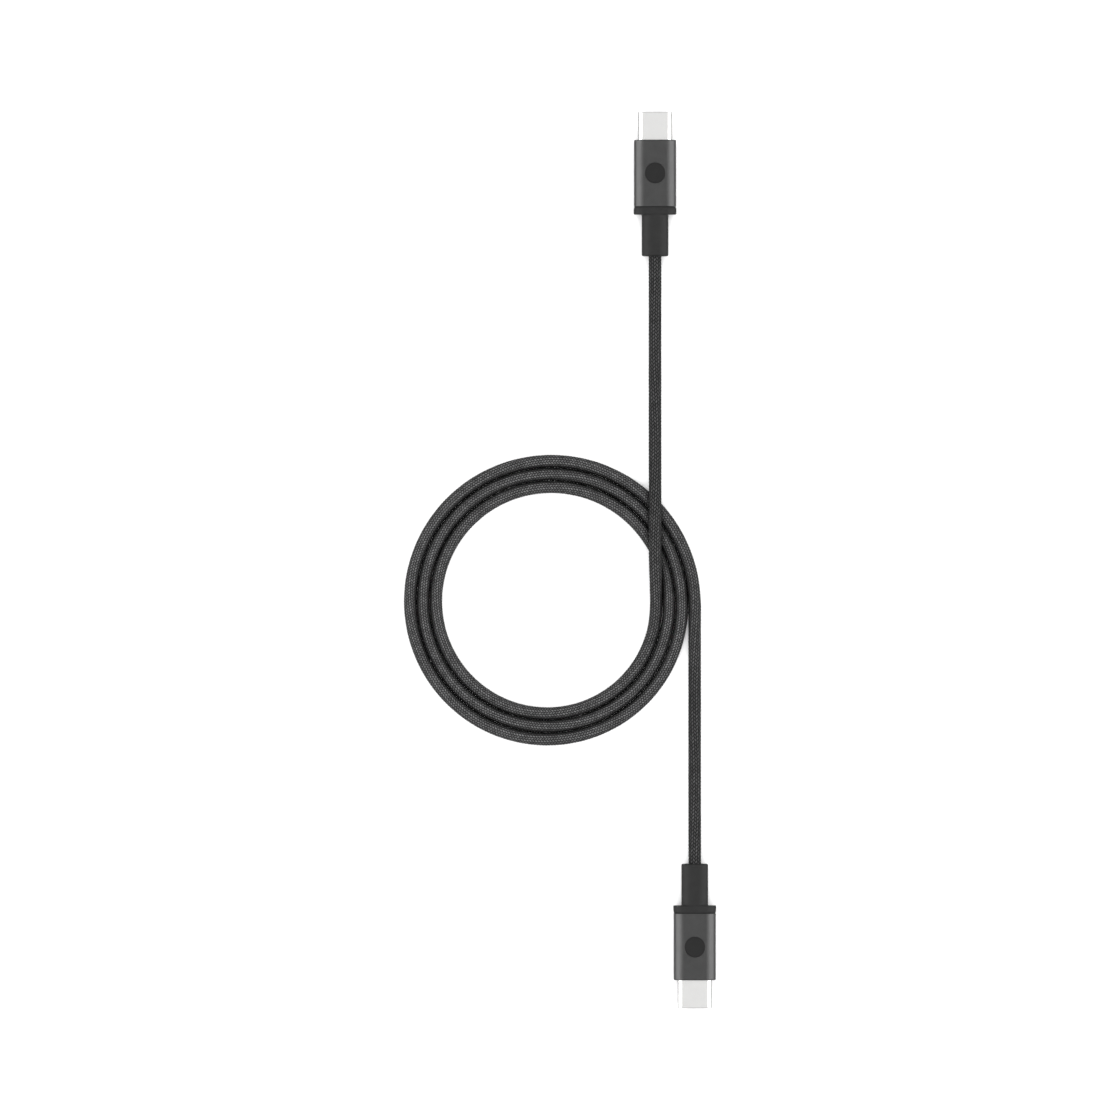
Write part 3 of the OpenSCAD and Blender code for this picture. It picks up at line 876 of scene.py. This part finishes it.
def area_light(name, place, width, height, radiance, diffuse=True, glossy=True):
    """Soft panel of even radiance that faces the origin: diffuse=False leaves only its gleam on
    a surface, and glossy=False only its light."""
    data = bpy.data.lights.new(name, "AREA")
    data.shape = "RECTANGLE"
    data.size = width
    data.size_y = height
    data.energy = radiance * math.pi * width * height
    light = bpy.data.objects.new(name, data)
    light.location = place
    to_origin = Vector((0, 0, 0)) - Vector(place)
    light.rotation_euler = to_origin.to_track_quat("-Z", "Y").to_euler()
    light.visible_camera = False
    light.visible_diffuse = diffuse
    light.visible_glossy = glossy
    bpy.context.scene.collection.objects.link(light)


# Sky level at each height of a direction, from -1, straight down, to 1, straight up
SKY_LEVELS = (
    (-1, 0.55), (-0.2, 0.55), (-0.08, 1.05), (0.1, 1.05), (0.2, 0.45), (0.88, 0.45), (0.96, 1.2),
)
FLOOR_HALF = 1.3


def make_world():
    """Dim room with a white horizon, which hides the floor's far edge, and a soft glow overhead."""
    world = bpy.data.worlds.new("studio")
    world.use_nodes = True
    tree = world.node_tree
    split = tree.nodes.new("ShaderNodeSeparateXYZ")
    tree.links.new(tree.nodes.new("ShaderNodeTexCoord").outputs["Generated"], split.inputs[0])
    share = tree.nodes.new("ShaderNodeMath")    # 0 straight down and 1 straight up
    share.operation = "MULTIPLY_ADD"
    share.inputs[1].default_value = 0.5
    share.inputs[2].default_value = 0.5
    tree.links.new(split.outputs[2], share.inputs[0])
    ramp = tree.nodes.new("ShaderNodeValToRGB")
    stops = ramp.color_ramp.elements            # two at first, at 0 and 1
    stops.remove(stops[-1])
    stops[0].color = grey(SKY_LEVELS[0][1])
    for height, level in SKY_LEVELS[1:]:
        stops.new((height + 1) / 2).color = grey(level)
    tree.links.new(share.outputs[0], ramp.inputs[0])
    tree.links.new(ramp.outputs[0], tree.nodes["Background"].inputs["Color"])
    return world


def make_floor():
    """White table. Nothing mirrors it, so the sides of the metal that face down stay grey."""
    paint = Paint("pale_floor")
    paint.colour(paint.mix(paint.noise(0.02, 2), grey(0.92), grey(0.94)))
    paint.rough(0.9)
    low, high = -FLOOR_HALF, FLOOR_HALF
    corners = [(low, low, 0), (high, low, 0), (high, high, 0), (low, high, 0)]
    floor = new_piece("floor", corners, [(0, 1, 2, 3)], paint.material, smooth_angle=0)
    floor.visible_glossy = False


def make_studio():
    """Overhead light for the braid, the boots and the floor, and side panels that put the
    bright bands on metal."""
    scene = bpy.context.scene
    scene.view_settings.view_transform = "Standard"
    scene.world = make_world()
    for side in (-1, 1):
        area_light(f"low_{side}", (side * 0.75, 0, 0.2), 0.9, 0.8, 3.0, diffuse=False)
        area_light(f"high_{side}", (side * 0.5, 0, 0.62), 0.8, 0.6, 2.2, diffuse=False)
    area_light("overhead", (0, 0, 0.9), 2.4, 2.4, 1.9, glossy=False)
    make_floor()


make_cord()
for plug_end in "ab":
    make_plug(plug_end)
make_studio()
